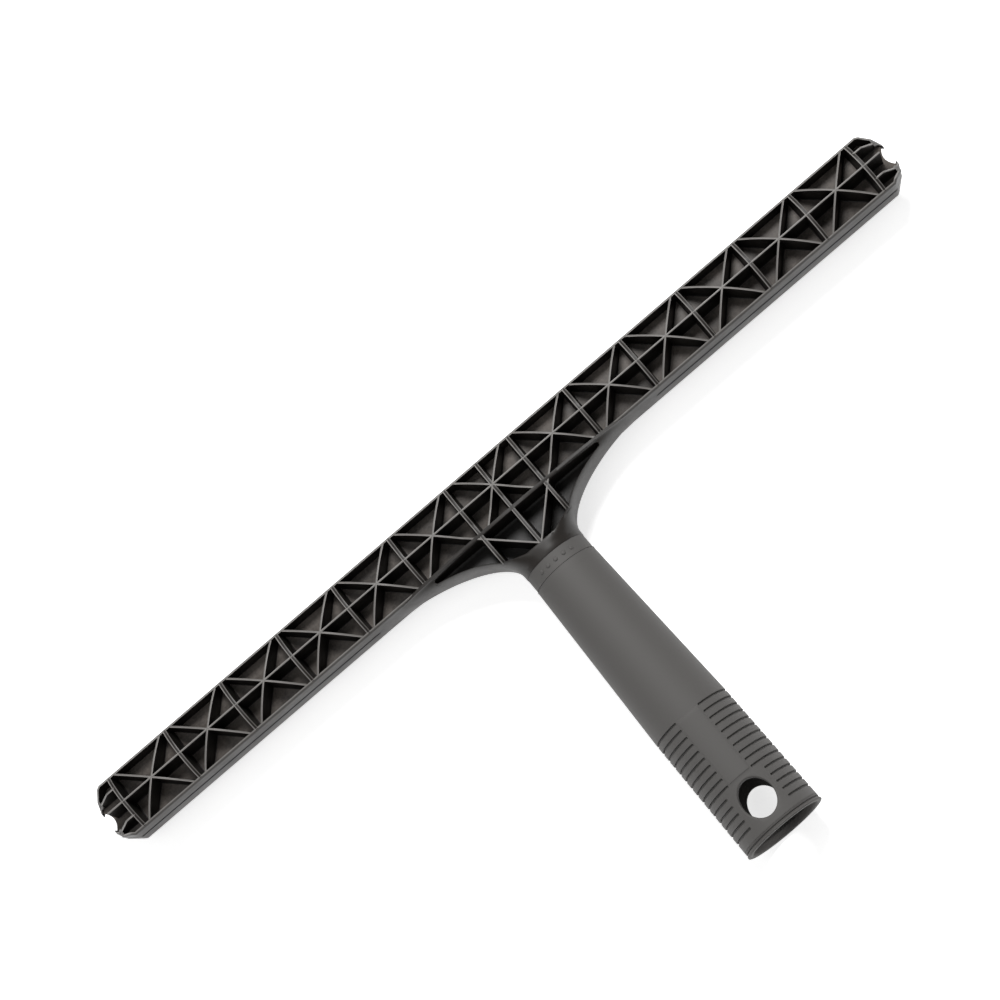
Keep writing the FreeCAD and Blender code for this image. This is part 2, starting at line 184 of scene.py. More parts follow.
# ---------------------------------------------------------------- form of the head
def lens(across):
    """Height of the bar's arched face over mid depth, at a distance from the spine."""
    half_depth, half_flank = head().depth / 2, head().flank_height / 2
    rise = half_depth - half_flank
    radius = (HALF_WIDTH ** 2 + rise ** 2) / (2 * rise)
    return math.sqrt(max(radius ** 2 - across ** 2, 0.0)) - (radius - half_depth)


def oval(x, wide, high, boxiness=2.0):
    """Height of an oval section at x, zero outside it."""
    share = min(abs(x) / wide, 1.0)
    return high * (1.0 - share ** boxiness) ** (1.0 / boxiness)


def stem_y():
    return SHOULDER_Y + head().neck_stem


def neck_span():
    return SPINE_Y - HALF_WIDTH - stem_y()


def neck_section(share):
    """Half width, half height and boxiness of the neck, from 0 at the stem to 1 at the bar."""
    wide = NECK_RADIUS + head().neck_flare * (1 - math.sqrt(max(1 - share ** 2, 0.0)))
    high = NECK_RADIUS + (head().depth / 2 - NECK_RADIUS) * share
    return wide, high, 2 + 2 * math.sin(math.pi * share)


def crest_height(x, y):
    """Height of the head's skin over mid depth at a place in plan."""
    across = y - SPINE_Y
    if across >= -HALF_WIDTH:
        height = lens(across)
        if across <= 0:
            share = -across / HALF_WIDTH
            flare = head().neck_flare
            wide = NECK_RADIUS + flare / 2 + flare / 2 * share
            high = head().depth / 2 - head().saddle_sink * (1 - share)
            height = max(height, oval(x, wide, high))
        return height
    share = min(max((y - stem_y()) / neck_span(), 0.0), 1.0)
    return oval(x, *neck_section(share))


def end_x(across):
    """Where the bar's plan ends, at a distance from the spine."""
    sizes = head()
    across = abs(across)
    knots = ((HALF_WIDTH, sizes.corner_setback), (sizes.bend_offset, sizes.bend_setback),
             (sizes.tip_offset, 0.0))
    for (outer, deep), (inner, shallow) in zip(knots, knots[1:]):
        if across >= inner:
            run = (outer - across) / (outer - inner)
            return HALF_LENGTH - deep + (deep - shallow) * run
    return HALF_LENGTH - sizes.notch * (1 - (across / sizes.tip_offset) ** 2)


def tooth_height(x, y):
    """Skin height near the bar's ends, where the teeth slope down to their tips."""
    web = head().web / 2
    slope = (head().depth / 2 - web) / head().tooth_slope
    return min(lens(y - SPINE_Y), web + (HALF_LENGTH - abs(x)) * slope)


def last_rib_x():
    return head().centre_cell / 2 + head().cell_pitch * head().cells_each_side


# ---------------------------------------------------------------- mesh helpers
def add_piece(name, vertices, faces, material, slot, crest=None, sharp=35.0):
    """Makes a mesh object at the origin, shaded smooth except over sharp edges."""
    mesh = bpy.data.meshes.new(name)
    mesh.from_pydata([tuple(v) for v in vertices], [], faces)
    mesh.validate()
    mesh.update()
    if crest is not None:
        layer = mesh.attributes.new("crest", "FLOAT", "POINT")
        layer.data.foreach_set("value", crest)
    mesh.materials.append(material)
    mesh.shade_smooth()
    mesh.set_sharp_from_angle(angle=math.radians(sharp))
    piece = bpy.data.objects.new(name, mesh)
    bpy.context.scene.collection.objects.link(piece)
    if slot:
        settle(piece)
    return piece


def settle(piece):
    """A finished piece rides on the body."""
    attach(piece, BODY)


def recalculate_outwards(mesh):
    """Turns every face of a closed mesh outwards."""
    work = bmesh.new()
    work.from_mesh(mesh)
    bmesh.ops.remove_doubles(work, verts=work.verts, dist=1e-7)
    bmesh.ops.recalc_face_normals(work, faces=work.faces)
    work.to_mesh(mesh)
    work.free()


def bridge(rings, closed_ends=True):
    """Faces between rings of equal length, each ring a closed loop."""
    count = len(rings[0])
    faces = []
    for level in range(len(rings) - 1):
        for spot in range(count):
            following = (spot + 1) % count
            faces.append((level * count + spot, level * count + following,
                          (level + 1) * count + following, (level + 1) * count + spot))
    if closed_ends:
        faces.append(tuple(reversed(range(count))))
        last = (len(rings) - 1) * count
        faces.append(tuple(range(last, last + count)))
    return faces


class Lump:
    """Vertices, faces and crest values gathered into one mesh."""

    def __init__(self):
        self.vertices, self.faces, self.crest = [], [], []

    def add(self, rings, crests):
        start = len(self.vertices)
        for ring in rings:
            self.vertices.extend(ring)
        for values in crests:
            self.crest.extend(values)
        self.faces.extend(tuple(start + i for i in face) for face in bridge(rings))

    def piece(self, name, material, slot, sharp=35.0):
        made = add_piece(name, self.vertices, self.faces, material, slot, self.crest, sharp)
        recalculate_outwards(made.data)
        return made


# Cross ribs: 0.7 mm wider, with painted highlight lines along both crest edges, the left one brighter,
# and a painted dark line between them.
TWIN_HIGHLIGHT_EDGES = {"tones": (1.0, 0.1, 0.75), "wider": 0.7 * MM}
CREST_ROUND = 0.2 * MM
ROOT_FLARE = 0.4 * MM


def rib_profile(height, crest, root):
    """Half of a rib's section, from mid depth to the crest: (side, height, crest mark) points. Mark 0
    on the sides paints shade into the pockets; the marks near 1 on the rounded crest paint it paler,
    partly wear and partly a painted highlight.
    """
    web = head().web / 2
    side, foot = crest / 2, root / 2
    bend = CREST_ROUND * 0.3
    return [
        (foot + ROOT_FLARE, web - ROOT_FLARE / 2, 0.0),
        (foot + ROOT_FLARE * 0.85, web + ROOT_FLARE * 0.05, 0.0),
        (foot + ROOT_FLARE * 0.3, web + ROOT_FLARE * 0.3, 0.0),
        (foot, web + ROOT_FLARE, 0.0),
        (side + 0.02 * MM, height - CREST_ROUND * 2, 0.0),
        (side, height - CREST_ROUND, 0.5),
        (side - bend, height - bend, 1.0),
        (side - CREST_ROUND, height, 0.95),
    ]


def rib(lump, start, end, steps=14, height_at=None, tones=(1.0, 0.75, 0.8), wider=0.0):
    """Adds a straight rib between two places in plan, on both faces of the web.

    tones are the crest marks on its left edge, its middle and its right edge, which set how pale each
    is painted: partly wear, partly a painted highlight that is stronger on the side the light falls
    on.
    """
    crest, root = head().rib_crest + wider, head().rib_root + wider
    height_at = height_at or crest_height
    start, end = Vector(start), Vector(end)
    along = (end - start).normalized()
    sideways = Vector((-along.y, along.x))
    rings, crests = [], []
    for step in range(steps + 1):
        place = start.lerp(end, step / steps)
        profile = rib_profile(height_at(place.x, place.y), crest, root)
        front = [(side, high, mark * tones[0]) for side, high, mark in profile]
        front.append((0.0, profile[-1][1], tones[1]))
        front += [(-side, high, mark * tones[2]) for side, high, mark in reversed(profile)]
        whole = front + [(side, -high, mark) for side, high, mark in reversed(front)]
        ring, marks = [], []
        for side, high, mark in whole:
            spot = place + sideways * side
            ring.append((spot.x, spot.y, high))
            marks.append(mark)
        rings.append(ring)
        crests.append(marks)
    lump.add(rings, crests)


# ---------------------------------------------------------------- node groups and materials
def new_group(name, inputs, outputs):
    """A shader node group with named sockets, each given as (name, kind, default)."""
    group = bpy.data.node_groups.new(name, "ShaderNodeTree")
    for label, kind, default in inputs:
        socket = group.interface.new_socket(label, in_out="INPUT", socket_type=kind)
        socket.default_value = default
    for label, kind in outputs:
        group.interface.new_socket(label, in_out="OUTPUT", socket_type=kind)
    return group, group.nodes.new("NodeGroupInput"), group.nodes.new("NodeGroupOutput")


def texture(group, kind, scale_from, **settings):
    """A noise or Voronoi texture on Object coordinates, scaled by a socket."""
    node = group.nodes.new(kind)
    where = group.nodes.new("ShaderNodeTexCoord")
    group.links.new(where.outputs["Object"], node.inputs["Vector"])
    group.links.new(scale_from, node.inputs["Scale"])
    for name, value in settings.items():
        node.inputs[name].default_value = value
    return node


def ramp(group, source, low, high, to_low=0.0, to_high=1.0):
    """Maps a value to a range and clamps it."""
    node = group.nodes.new("ShaderNodeMapRange")
    node.clamp = True
    group.links.new(source, node.inputs["Value"])
    limits = {"From Min": low, "From Max": high, "To Min": to_low, "To Max": to_high}
    for name, value in limits.items():
        if isinstance(value, (int, float)):
            node.inputs[name].default_value = value
        else:
            group.links.new(value, node.inputs[name])
    return node.outputs["Result"]


def math_node(group, operation, first, second):
    node = group.nodes.new("ShaderNodeMath")
    node.operation = operation
    for socket, value in zip(node.inputs, (first, second)):
        if isinstance(value, (int, float)):
            socket.default_value = value
        else:
            group.links.new(value, socket)
    return node.outputs[0]


def mottle_group():
    """Cloudy patches and fine specks, as moulded plastic shows: one mask."""
    group, given, out = new_group(
        "plastic_mottle",
        [("Cloud Scale", "NodeSocketFloat", 90.0), ("Speck Scale", "NodeSocketFloat", 900.0),
         ("Speck Share", "NodeSocketFloat", 0.4)],
        [("Mask", "NodeSocketFloat")],
    )
    cloud = texture(group, "ShaderNodeTexNoise", given.outputs["Cloud Scale"],
                    Detail=4.0, Roughness=0.6, Distortion=0.4)
    speck = texture(group, "ShaderNodeTexNoise", given.outputs["Speck Scale"],
                    Detail=2.0, Roughness=0.7)
    clouds = ramp(group, cloud.outputs["Fac"], 0.3, 0.7)
    specks = ramp(group, speck.outputs["Fac"], 0.35, 0.65)
    share = math_node(group, "MULTIPLY", specks, given.outputs["Speck Share"])
    total = math_node(group, "ADD", clouds, share)
    whole = math_node(group, "ADD", given.outputs["Speck Share"], 1.0)
    group.links.new(math_node(group, "DIVIDE", total, whole), out.inputs["Mask"])
    return group


def grain_group():
    """Fine spark-eroded grain and long soft waves: a height in millimetres."""
    group, given, out = new_group(
        "plastic_grain",
        [("Grain Scale", "NodeSocketFloat", 2600.0), ("Grain Height", "NodeSocketFloat", 0.02),
         ("Wave Scale", "NodeSocketFloat", 120.0), ("Wave Height", "NodeSocketFloat", 0.03)],
        [("Height", "NodeSocketFloat")],
    )
    grain = texture(group, "ShaderNodeTexNoise", given.outputs["Grain Scale"],
                    Detail=2.0, Roughness=0.6)
    wave = texture(group, "ShaderNodeTexNoise", given.outputs["Wave Scale"],
                   Detail=1.0, Roughness=0.5)
    fine = math_node(group, "MULTIPLY", grain.outputs["Fac"], given.outputs["Grain Height"])
    long = math_node(group, "MULTIPLY", wave.outputs["Fac"], given.outputs["Wave Height"])
    group.links.new(math_node(group, "ADD", fine, long), out.inputs["Height"])
    return group


def scuff_group():
    """Thin rubbed scratches and patches where hands and sleeves rub: one mask."""
    group, given, out = new_group(
        "rub_marks",
        [("Patch Scale", "NodeSocketFloat", 35.0), ("Scratch Scale", "NodeSocketFloat", 260.0),
         ("Cover", "NodeSocketFloat", 0.3)],
        [("Mask", "NodeSocketFloat")],
    )
    patch = texture(group, "ShaderNodeTexNoise", given.outputs["Patch Scale"],
                    Detail=3.0, Roughness=0.7, Distortion=0.8)
    where = group.nodes.new("ShaderNodeTexCoord")
    stretch = group.nodes.new("ShaderNodeMapping")
    stretch.inputs["Scale"].default_value = (0.15, 1.0, 1.0)
    stretch.inputs["Rotation"].default_value = (0.0, 0.0, 0.5)
    group.links.new(where.outputs["Object"], stretch.inputs["Vector"])
    scratch = group.nodes.new("ShaderNodeTexNoise")
    group.links.new(stretch.outputs["Vector"], scratch.inputs["Vector"])
    group.links.new(given.outputs["Scratch Scale"], scratch.inputs["Scale"])
    scratch.inputs["Detail"].default_value = 3.0
    patches = ramp(group, patch.outputs["Fac"], 0.5, 0.72)
    scratches = ramp(group, scratch.outputs["Fac"], 0.56, 0.66)
    both = math_node(group, "MULTIPLY", patches, scratches)
    group.links.new(math_node(group, "MULTIPLY", both, given.outputs["Cover"]), out.inputs["Mask"])
    return group


def place_group(material, group, **values):
    node = material.node_tree.nodes.new("ShaderNodeGroup")
    node.node_tree = group
    for name, value in values.items():
        node.inputs[name.replace("_", " ")].default_value = value
    return node


POCKET_SHADE = 0.35


def mix_colours(tree, mask, first, second):
    """Blends two colours, each a socket or a plain colour, by a mask."""
    node = tree.nodes.new("ShaderNodeMix")
    node.data_type = "RGBA"
    tree.links.new(mask, node.inputs["Factor"])
    for name, value in (("A", first), ("B", second)):
        socket = next(s for s in node.inputs if s.name == name and s.type == "RGBA")
        if isinstance(value, bpy.types.NodeSocket):
            tree.links.new(value, socket)
        else:
            socket.default_value = (*value, 1.0)
    return next(s for s in node.outputs if s.type == "RGBA")


def shade(colour, factor):
    return tuple(min(channel * factor, 1.0) for channel in colour)


def colours_by_mark(tree):
    """Painted shade inside the pockets, plain plastic on the skin, paler along the crests, partly wear
    and partly a painted highlight.
    """
    mark = tree.nodes.new("ShaderNodeAttribute")
    mark.attribute_name = "crest"
    bands = tree.nodes.new("ShaderNodeValToRGB")
    base = finishes().plastic
    stops = bands.color_ramp.elements
    stops.new(0.5)
    for stop, colour in zip(stops, (shade(base, POCKET_SHADE), base, finishes().crest)):
        stop.color = (*colour, 1.0)
    tree.links.new(mark.outputs["Fac"], bands.inputs["Fac"])
    return bands.outputs["Color"]


def plastic(name, roughness, contrast=0.25, tone=1.0, marked=False, **grain):
    """Moulded plastic: mottled colour, fine grain and rub marks; where marked, painted shade in the
    pockets and paler crests of wear and painted highlight.
    """
    material = bpy.data.materials.new(name)
    material.use_nodes = True
    tree = material.node_tree
    shader = next(n for n in tree.nodes if n.type == "BSDF_PRINCIPLED")
    base = shade(finishes().plastic, tone)
    mottle = place_group(material, bpy.data.node_groups["plastic_mottle"])
    rub = place_group(material, bpy.data.node_groups["rub_marks"])
    colour = mix_colours(tree, mottle.outputs["Mask"],
                         shade(base, 1 - contrast), shade(base, 1 + contrast))
    colour = mix_colours(tree, rub.outputs["Mask"], colour, shade(base, 2.2))
    if marked:
        # Marked pieces take painted shade and painted crest highlight from their marks, with a little
        # of the mottled colour mixed in.
        mottle_share = ramp(tree, mottle.outputs["Mask"], 0.0, 1.0, 0.0, contrast)
        colour = mix_colours(tree, mottle_share, colours_by_mark(tree), colour)
    tree.links.new(colour, shader.inputs["Base Color"])
    tree.links.new(
        ramp(tree, mottle.outputs["Mask"], 0.0, 1.0, roughness - 0.06, roughness + 0.08),
        shader.inputs["Roughness"],
    )
    shader.inputs["Specular IOR Level"].default_value = 0.3
    height = place_group(material, bpy.data.node_groups["plastic_grain"], **grain)
    bump = tree.nodes.new("ShaderNodeBump")
    bump.inputs["Strength"].default_value = 0.6
    bump.inputs["Distance"].default_value = MM
    tree.links.new(height.outputs["Height"], bump.inputs["Height"])
    tree.links.new(bump.outputs["Normal"], shader.inputs["Normal"])
    return material


def material(name):
    return bpy.data.materials[name]


class WASHER_OT_finishes(bpy.types.Operator):
    """Builds the shared node groups and the plastics that the pieces use"""

    bl_idname = "washer.finishes"
    bl_label = "Plastics"

    def execute(self, context):
        mottle_group()
        grain_group()
        scuff_group()
        plastic("rib_plastic", 0.42, 0.25, marked=True)
        # The web plate's plastic, painted four times lighter as painted light on the pocket floors,
        # with stronger real mottle.
        plastic("pocket_plastic", 0.5, 0.65, tone=4.0, Wave_Scale=260.0, Wave_Height=0.14)
        plastic("neck_plastic", 0.42, 0.12, marked=True, Wave_Height=0.02)
        plastic("handle_plastic", 0.40, 0.12, Wave_Height=0.02)
        plastic("collar_plastic", 0.34, 0.1, Grain_Height=0.01)
        return {"FINISHED"}


# ---------------------------------------------------------------- geometry nodes
def new_tree(name, inputs):
    """A geometry node tree with a Geometry input, a Material input and the given sizes."""
    tree = bpy.data.node_groups.new(name, "GeometryNodeTree")
    tree.is_modifier = True
    tree.interface.new_socket("Geometry", in_out="INPUT", socket_type="NodeSocketGeometry")
    for label, kind, default in inputs:
        socket = tree.interface.new_socket(label, in_out="INPUT", socket_type=kind)
        socket.default_value = default
    tree.interface.new_socket("Material", in_out="INPUT", socket_type="NodeSocketMaterial")
    tree.interface.new_socket("Geometry", in_out="OUTPUT", socket_type="NodeSocketGeometry")
    return tree, tree.nodes.new("NodeGroupInput"), tree.nodes.new("NodeGroupOutput")


def finish_tree(tree, given, out, geometry):
    """Ends a tree in Realize Instances and Set Material."""
    solid = tree.nodes.new("GeometryNodeRealizeInstances")
    paint = tree.nodes.new("GeometryNodeSetMaterial")
    tree.links.new(geometry, solid.inputs["Geometry"])
    tree.links.new(solid.outputs["Geometry"], paint.inputs["Geometry"])
    tree.links.new(given.outputs["Material"], paint.inputs["Material"])
    tree.links.new(paint.outputs["Geometry"], out.inputs["Geometry"])


def vector_of(tree, x=0.0, y=0.0, z=0.0):
    node = tree.nodes.new("ShaderNodeCombineXYZ")
    for socket, value in zip(node.inputs, (x, y, z)):
        if isinstance(value, (int, float)):
            socket.default_value = value
        else:
            tree.links.new(value, socket)
    return node.outputs["Vector"]


def line_of_points(tree, count, start, step):
    node = tree.nodes.new("GeometryNodeMeshLine")
    node.mode = "OFFSET"
    tree.links.new(count, node.inputs["Count"])
    tree.links.new(start, node.inputs["Start Location"])
    tree.links.new(step, node.inputs["Offset"])
    return node.outputs["Mesh"]


def stand_on(tree, points, instance, rotation=None, scale=None):
    node = tree.nodes.new("GeometryNodeInstanceOnPoints")
    tree.links.new(points, node.inputs["Points"])
    tree.links.new(instance, node.inputs["Instance"])
    if rotation is not None:
        tree.links.new(rotation, node.inputs["Rotation"])
    if scale is not None:
        tree.links.new(scale, node.inputs["Scale"])
    return node.outputs["Instances"]


def join(tree, parts):
    node = tree.nodes.new("GeometryNodeJoinGeometry")
    for part in parts:
        tree.links.new(part, node.inputs["Geometry"])
    return node.outputs["Geometry"]


def rib_row_tree():
    """Repeats one rib outwards along the bar, to the right and to the left."""
    tree, given, out = new_tree("rib_row", [
        ("Count", "NodeSocketInt", 4), ("Start", "NodeSocketFloat", 0.05),
        ("Pitch", "NodeSocketFloat", 0.025)])
    rows = []
    for side in (1.0, -1.0):
        start = math_node(tree, "MULTIPLY", given.outputs["Start"], side)
        pitch = math_node(tree, "MULTIPLY", given.outputs["Pitch"], side)
        points = line_of_points(tree, given.outputs["Count"], vector_of(tree, x=start),
                                vector_of(tree, x=pitch))
        rows.append(stand_on(tree, points, given.outputs["Geometry"]))
    finish_tree(tree, given, out, join(tree, rows))
    return tree


def grip_row_tree():
    """Repeats one curved cutter down both sides of the grip, a little wider at each step."""
    tree, given, out = new_tree("grip_row", [
        ("Count", "NodeSocketInt", 10), ("Start", "NodeSocketFloat", 0.05),
        ("Pitch", "NodeSocketFloat", 0.003), ("Growth", "NodeSocketFloat", 0.002)])
    start = vector_of(tree, y=given.outputs["Start"])
    step = vector_of(tree, y=math_node(tree, "MULTIPLY", given.outputs["Pitch"], -1.0))
    points = line_of_points(tree, given.outputs["Count"], start, step)
    index = tree.nodes.new("GeometryNodeInputIndex").outputs["Index"]
    widen = math_node(tree, "ADD", math_node(tree, "MULTIPLY", index, given.outputs["Growth"]), 1.0)
    scale = vector_of(tree, widen, 1.0, widen)
    sides = [stand_on(tree, points, given.outputs["Geometry"], vector_of(tree, y=turn), scale)
             for turn in (0.0, math.pi)]
    finish_tree(tree, given, out, join(tree, sides))
    return tree


def pip_row_tree():
    """Repeats one pip round the sunk band, centred on the front and on the back."""
    tree, given, out = new_tree("pip_row", [
        ("Count", "NodeSocketInt", 5), ("Angle", "NodeSocketFloat", 0.3)])
    zero = vector_of(tree)
    points = line_of_points(tree, given.outputs["Count"], zero, zero)
    index = tree.nodes.new("GeometryNodeInputIndex").outputs["Index"]
    last = math_node(tree, "SUBTRACT", given.outputs["Count"], 1.0)
    middle = math_node(tree, "DIVIDE", last, 2.0)
    turn = math_node(tree, "MULTIPLY", math_node(tree, "SUBTRACT", index, middle),
                     given.outputs["Angle"])
    faces = []
    for half_turn in (0.0, math.pi):
        spin = math_node(tree, "ADD", turn, half_turn)
        faces.append(stand_on(tree, points, given.outputs["Geometry"], vector_of(tree, y=spin)))
    finish_tree(tree, given, out, join(tree, faces))
    return tree


def repeat(piece, tree, plastic_name, **values):
    """Runs a tree on a piece and keeps the result as a plain mesh."""
    modifier = piece.modifiers.new(tree.name, "NODES")
    modifier.node_group = tree
    values["Material"] = material(plastic_name)
    for item in tree.interface.items_tree:
        if item.in_out == "INPUT" and item.name in values:
            modifier[item.identifier] = values[item.name]
    view = bpy.context.evaluated_depsgraph_get()
    grown = bpy.data.meshes.new_from_object(piece.evaluated_get(view), depsgraph=view)
    piece.modifiers.clear()
    seed = piece.data
    piece.data = grown
    bpy.data.meshes.remove(seed)
    grown.name = piece.name
    return piece


def subtract(piece, tools):
    """Cuts tool solids out of a piece and throws the tools away."""
    for tool in tools:
        modifier = piece.modifiers.new(tool.name, "BOOLEAN")
        modifier.operation = "DIFFERENCE"
        modifier.solver = "EXACT"
        modifier.object = tool
    view = bpy.context.evaluated_depsgraph_get()
    rest = bpy.data.meshes.new_from_object(piece.evaluated_get(view), depsgraph=view)
    piece.modifiers.clear()
    solid = piece.data
    piece.data = rest
    bpy.data.meshes.remove(solid)
    rest.name = piece.name
    for tool in tools:
        shape = tool.data
        bpy.data.objects.remove(tool)
        bpy.data.meshes.remove(shape)


# ---------------------------------------------------------------- the bar
WEB_EDGE = 0.35 * MM
TOOTH_STEPS = 9


def bar_plan(inset):
    """The bar's outline in plan, pulled in a little, with rounded tooth tips."""
    sizes = head()
    across = [HALF_WIDTH, (HALF_WIDTH + sizes.bend_offset) / 2, sizes.bend_offset]
    tips = [sizes.tip_offset * (1 - 2 * step / TOOTH_STEPS) for step in range(TOOTH_STEPS + 1)]
    levels = across + tips + [-v for v in reversed(across)]
    right = [(end_x(v) - inset, v * (1 - inset / HALF_WIDTH)) for v in levels]
    left = [(-x, v) for x, v in reversed(right)]
    return [(x, SPINE_Y + v) for x, v in right + left]


class WASHER_OT_web_plate(bpy.types.Operator):
    """Builds the plate between the front and back pockets, with toothed ends"""

    bl_idname = "washer.web_plate"
    bl_label = "Web plate"

    def execute(self, context):
        half = head().web / 2
        levels = (
            (-half, WEB_EDGE), (-half + WEB_EDGE * 0.3, WEB_EDGE * 0.3), (-half + WEB_EDGE, 0.0),
            (half - WEB_EDGE, 0.0), (half - WEB_EDGE * 0.3, WEB_EDGE * 0.3), (half, WEB_EDGE),
        )
        rings = [[(x, y, z) for x, y in bar_plan(inset)] for z, inset in levels]
        vertices = [v for ring in rings for v in ring]
        plate = add_piece("web_plate", vertices, bridge(rings), material("pocket_plastic"),
                          "head_plastic")
        recalculate_outwards(plate.data)
        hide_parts("t_bar_head")
        return {"FINISHED"}


def flank_path(side):
    """Outline of one flank and its two corners as (x, distance from the spine), tip to tip."""
    sizes = head()
    knots = [(HALF_LENGTH, sizes.tip_offset), (HALF_LENGTH - sizes.bend_setback, sizes.bend_offset),
             (HALF_LENGTH - sizes.corner_setback, HALF_WIDTH)]
    half = []
    for (x, across), (next_x, next_across) in zip(knots, knots[1:]):
        half += [(x + (next_x - x) * step / 4, across + (next_across - across) * step / 4)
                 for step in range(4)]
    half += [knots[-1], (knots[-1][0] - 2 * MM, HALF_WIDTH)]
    return [(x, v * side) for x, v in half] + [(-x, v * side) for x, v in reversed(half)]


class WASHER_OT_side_walls(bpy.types.Operator):
    """Builds the two long side walls of the bar, which run round its corners to the tooth tips"""

    bl_idname = "washer.side_walls"
    bl_label = "Side walls"

    def execute(self, context):
        lump = Lump()
        wall, edge = head().wall, 0.4 * MM
        half = [
            (0.0, None, 0.5),
            (0.0, edge * 1.6, 0.5),
            (edge * 0.12, edge * 0.9, 0.5),
            (edge * 0.45, edge * 0.25, 0.55),
            (edge, edge * 0.05, 0.6),
            (wall - CREST_ROUND, 0.0, 0.95),
            (wall - CREST_ROUND * 0.3, CREST_ROUND * 0.3, 0.9),
            (wall, CREST_ROUND, 0.3),
            (wall + 0.15 * MM, -ROOT_FLARE, 0.0),
            (wall + 0.15 * MM + ROOT_FLARE * 0.3, -ROOT_FLARE * 0.3, 0.0),
            (wall + 0.15 * MM + ROOT_FLARE, ROOT_FLARE / 2, 0.0),
        ]
        # Crest marks: 0.5 plain on the outer flank, near 1 on the inner crest edge for wear and
        # painted highlight, 0 on the inner face for painted shade in the pocket.
        marks = [mark for _, _, mark in half] + [mark for _, _, mark in reversed(half[1:])]
        for side in (1, -1):
            path = [Vector(spot) for spot in flank_path(side)]
            rings = [self.section(path, index, half, side) for index in range(len(path))]
            lump.add(rings, [marks] * len(rings))
        lump.piece("side_walls", material("rib_plastic"), "head_plastic", 50.0)
        return {"FINISHED"}

    @staticmethod
    def section(path, index, half, side):
        """The wall's section at one place of its path, square to the path."""
        here = path[index]
        before, after = path[max(index - 1, 0)], path[min(index + 1, len(path) - 1)]
        along = (after - before).normalized()
        inward = Vector((-along.y, along.x)) * side
        if index in (0, len(path) - 1):
            inward = Vector((0.0, -side))
        web = head().web / 2
        front = []
        for number, (inset, drop, _) in enumerate(half):
            spot = here + inward * inset
            y = SPINE_Y + spot.y
            top = tooth_height(spot.x, y)
            if number == 0:
                z = 0.0
            elif number < 8:
                z = max(top - drop, 0.2 * MM)
            else:
                z = min(web - drop, top - CREST_ROUND * 1.5)
            front.append((spot.x, y, z))
        return front + [(x, y, -z) for x, y, z in reversed(front[1:])]


class WASHER_OT_bar_ribs(bpy.types.Operator):
    """Builds the spine, the cross ribs and the crossed diagonals of the truss"""

    bl_idname = "washer.bar_ribs"
    bl_label = "Bar ribs"

    def execute(self, context):
        sizes = head()
        inner = HALF_WIDTH - sizes.wall / 2
        plain_cells = sizes.cells_each_side - 2
        first_cross = sizes.centre_cell / 2 + sizes.cell_pitch * 2
        row = rib_row_tree()

        cross = Lump()
        rib(cross, (0, SPINE_Y - inner), (0, SPINE_Y + inner), 22, self.plain_height, **TWIN_HIGHLIGHT_EDGES)
        settle(repeat(cross.piece("cross_ribs", material("rib_plastic"), None), row, "rib_plastic",
                      Count=plain_cells + 1, Start=first_cross, Pitch=sizes.cell_pitch))

        crossed = Lump()
        self.add_cross(crossed, 0, self.plain_height)
        settle(repeat(crossed.piece("diagonal_ribs", material("rib_plastic"), None), row,
                      "rib_plastic", Count=plain_cells, Start=first_cross + sizes.cell_pitch / 2,
                      Pitch=sizes.cell_pitch))

        centre = Lump()
        rib(centre, (0, SPINE_Y - inner), (0, SPINE_Y + inner), 22, **TWIN_HIGHLIGHT_EDGES)
        self.add_cross(centre, 0)
        for side in (1, -1):
            for cell in range(2):
                edge = (sizes.centre_cell / 2 + sizes.cell_pitch * cell) * side
                rib(centre, (edge, SPINE_Y - inner), (edge, SPINE_Y + inner), 22, **TWIN_HIGHLIGHT_EDGES)
                self.add_cross(centre, edge + sizes.cell_pitch / 2 * side)
        centre.piece("centre_ribs", material("rib_plastic"), "head_plastic")

        spine = Lump()
        tip = end_x(0) - 1.3 * MM
        rib(spine, (-tip, SPINE_Y), (tip, SPINE_Y), 40)
        spine.piece("spine_rib", material("rib_plastic"), "head_plastic")
        return {"FINISHED"}

    @staticmethod
    def plain_height(x, y):
        """Skin height where the neck doesn't lift it."""
        return lens(y - SPINE_Y)

    @staticmethod
    def add_cross(lump, x, height_at=None):
        """Two diagonals that cross on the spine."""
        reach = HALF_WIDTH - head().wall / 2 - ROOT_FLARE
        for lean in (1, -1):
            # The diagonals' crest edges get a painted highlight too, the right edge brighter.
            rib(lump, (x - reach, SPINE_Y - reach * lean), (x + reach, SPINE_Y + reach * lean), 28,
                height_at, (0.8, 0.7, 1.0))


